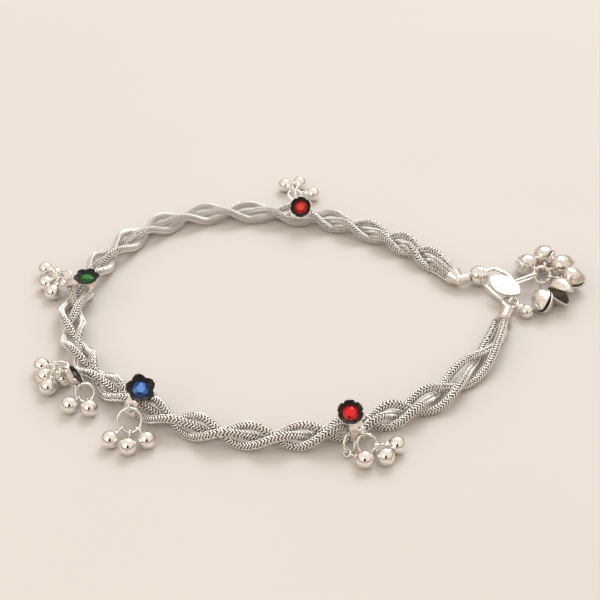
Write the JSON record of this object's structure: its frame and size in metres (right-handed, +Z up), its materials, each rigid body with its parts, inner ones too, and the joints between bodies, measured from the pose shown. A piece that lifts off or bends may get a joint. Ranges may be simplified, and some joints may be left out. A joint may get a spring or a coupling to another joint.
{
  "type": "payal anklet",
  "caption": "Closed silver anklet of three plaited foxtail chains with flower settings, ball bells on jump rings and a hook clasp with a bunch of pea bells, lying flat.",
  "frame": {"origin": "centre of the anklet's box on the surface that it lies on", "axes": "+Z up out of that surface, +X from the loop's middle to the clasp, across the anklet's greatest width"},
  "size_m": [0.112, 0.0971, 0.0081],
  "materials": {
    "chain_silver": "bright silver",
    "silver": "bright silver",
    "ball_silver": "polished silver",
    "bell_silver": "polished silver",
    "leaf_silver": "stamped silver",
    "dark_enamel": "glossy black enamel",
    "stone_front_red": "polished red stone",
    "stone_blue": "polished light blue stone",
    "stone_side": "polished dark stone",
    "stone_green": "polished green stone",
    "stone_back_red": "polished red stone"
  },
  "bodies": {
    "root": {"ball_back_red_1": "ball_silver", "ball_back_red_2": "ball_silver", "ball_back_red_3": "ball_silver", "ball_blue_1": "ball_silver", "ball_blue_2": "ball_silver", "ball_blue_3": "ball_silver", "ball_front_red_1": "ball_silver", "ball_front_red_2": "ball_silver", "ball_front_red_3": "ball_silver", "ball_green_1": "ball_silver", "ball_green_2": "ball_silver", "ball_green_3": "ball_silver", "ball_side_1": "ball_silver", "ball_side_2": "ball_silver", "ball_side_3": "ball_silver", "ball_side_4": "ball_silver", "ball_side_5": "ball_silver", "ball_side_6": "ball_silver", "bell_link": "silver", "bell_ring": "silver", "cap_back": "silver", "cap_front": "silver", "clasp_hook": "silver", "clasp_leaf": "leaf_silver", "clasp_ring": "silver", "cup_back_red": "silver", "cup_blue": "silver", "cup_front_red": "silver", "cup_green": "silver", "cup_side": "silver", "pea_bell_1": "bell_silver", "pea_bell_2": "bell_silver", "pea_bell_3": "bell_silver", "pea_bell_4": "bell_silver", "pea_bell_5": "bell_silver", "pea_bell_6": "bell_silver", "petals_back_red": "dark_enamel", "petals_blue": "dark_enamel", "petals_front_red": "dark_enamel", "petals_green": "dark_enamel", "petals_side": "dark_enamel", "ring_back_red_1": "silver", "ring_back_red_2": "silver", "ring_blue": "silver", "ring_front_red_1": "silver", "ring_front_red_2": "silver", "ring_green_1": "silver", "ring_green_2": "silver", "ring_side_1": "silver", "ring_side_2": "silver", "stone_back_red": "stone_back_red", "stone_blue": "stone_blue", "stone_front_red": "stone_front_red", "stone_green": "stone_green", "stone_side": "stone_side", "strand_1": "chain_silver", "strand_2": "chain_silver", "strand_3": "chain_silver", "tail_ball": "ball_silver"}
  },
  "joints": []
}
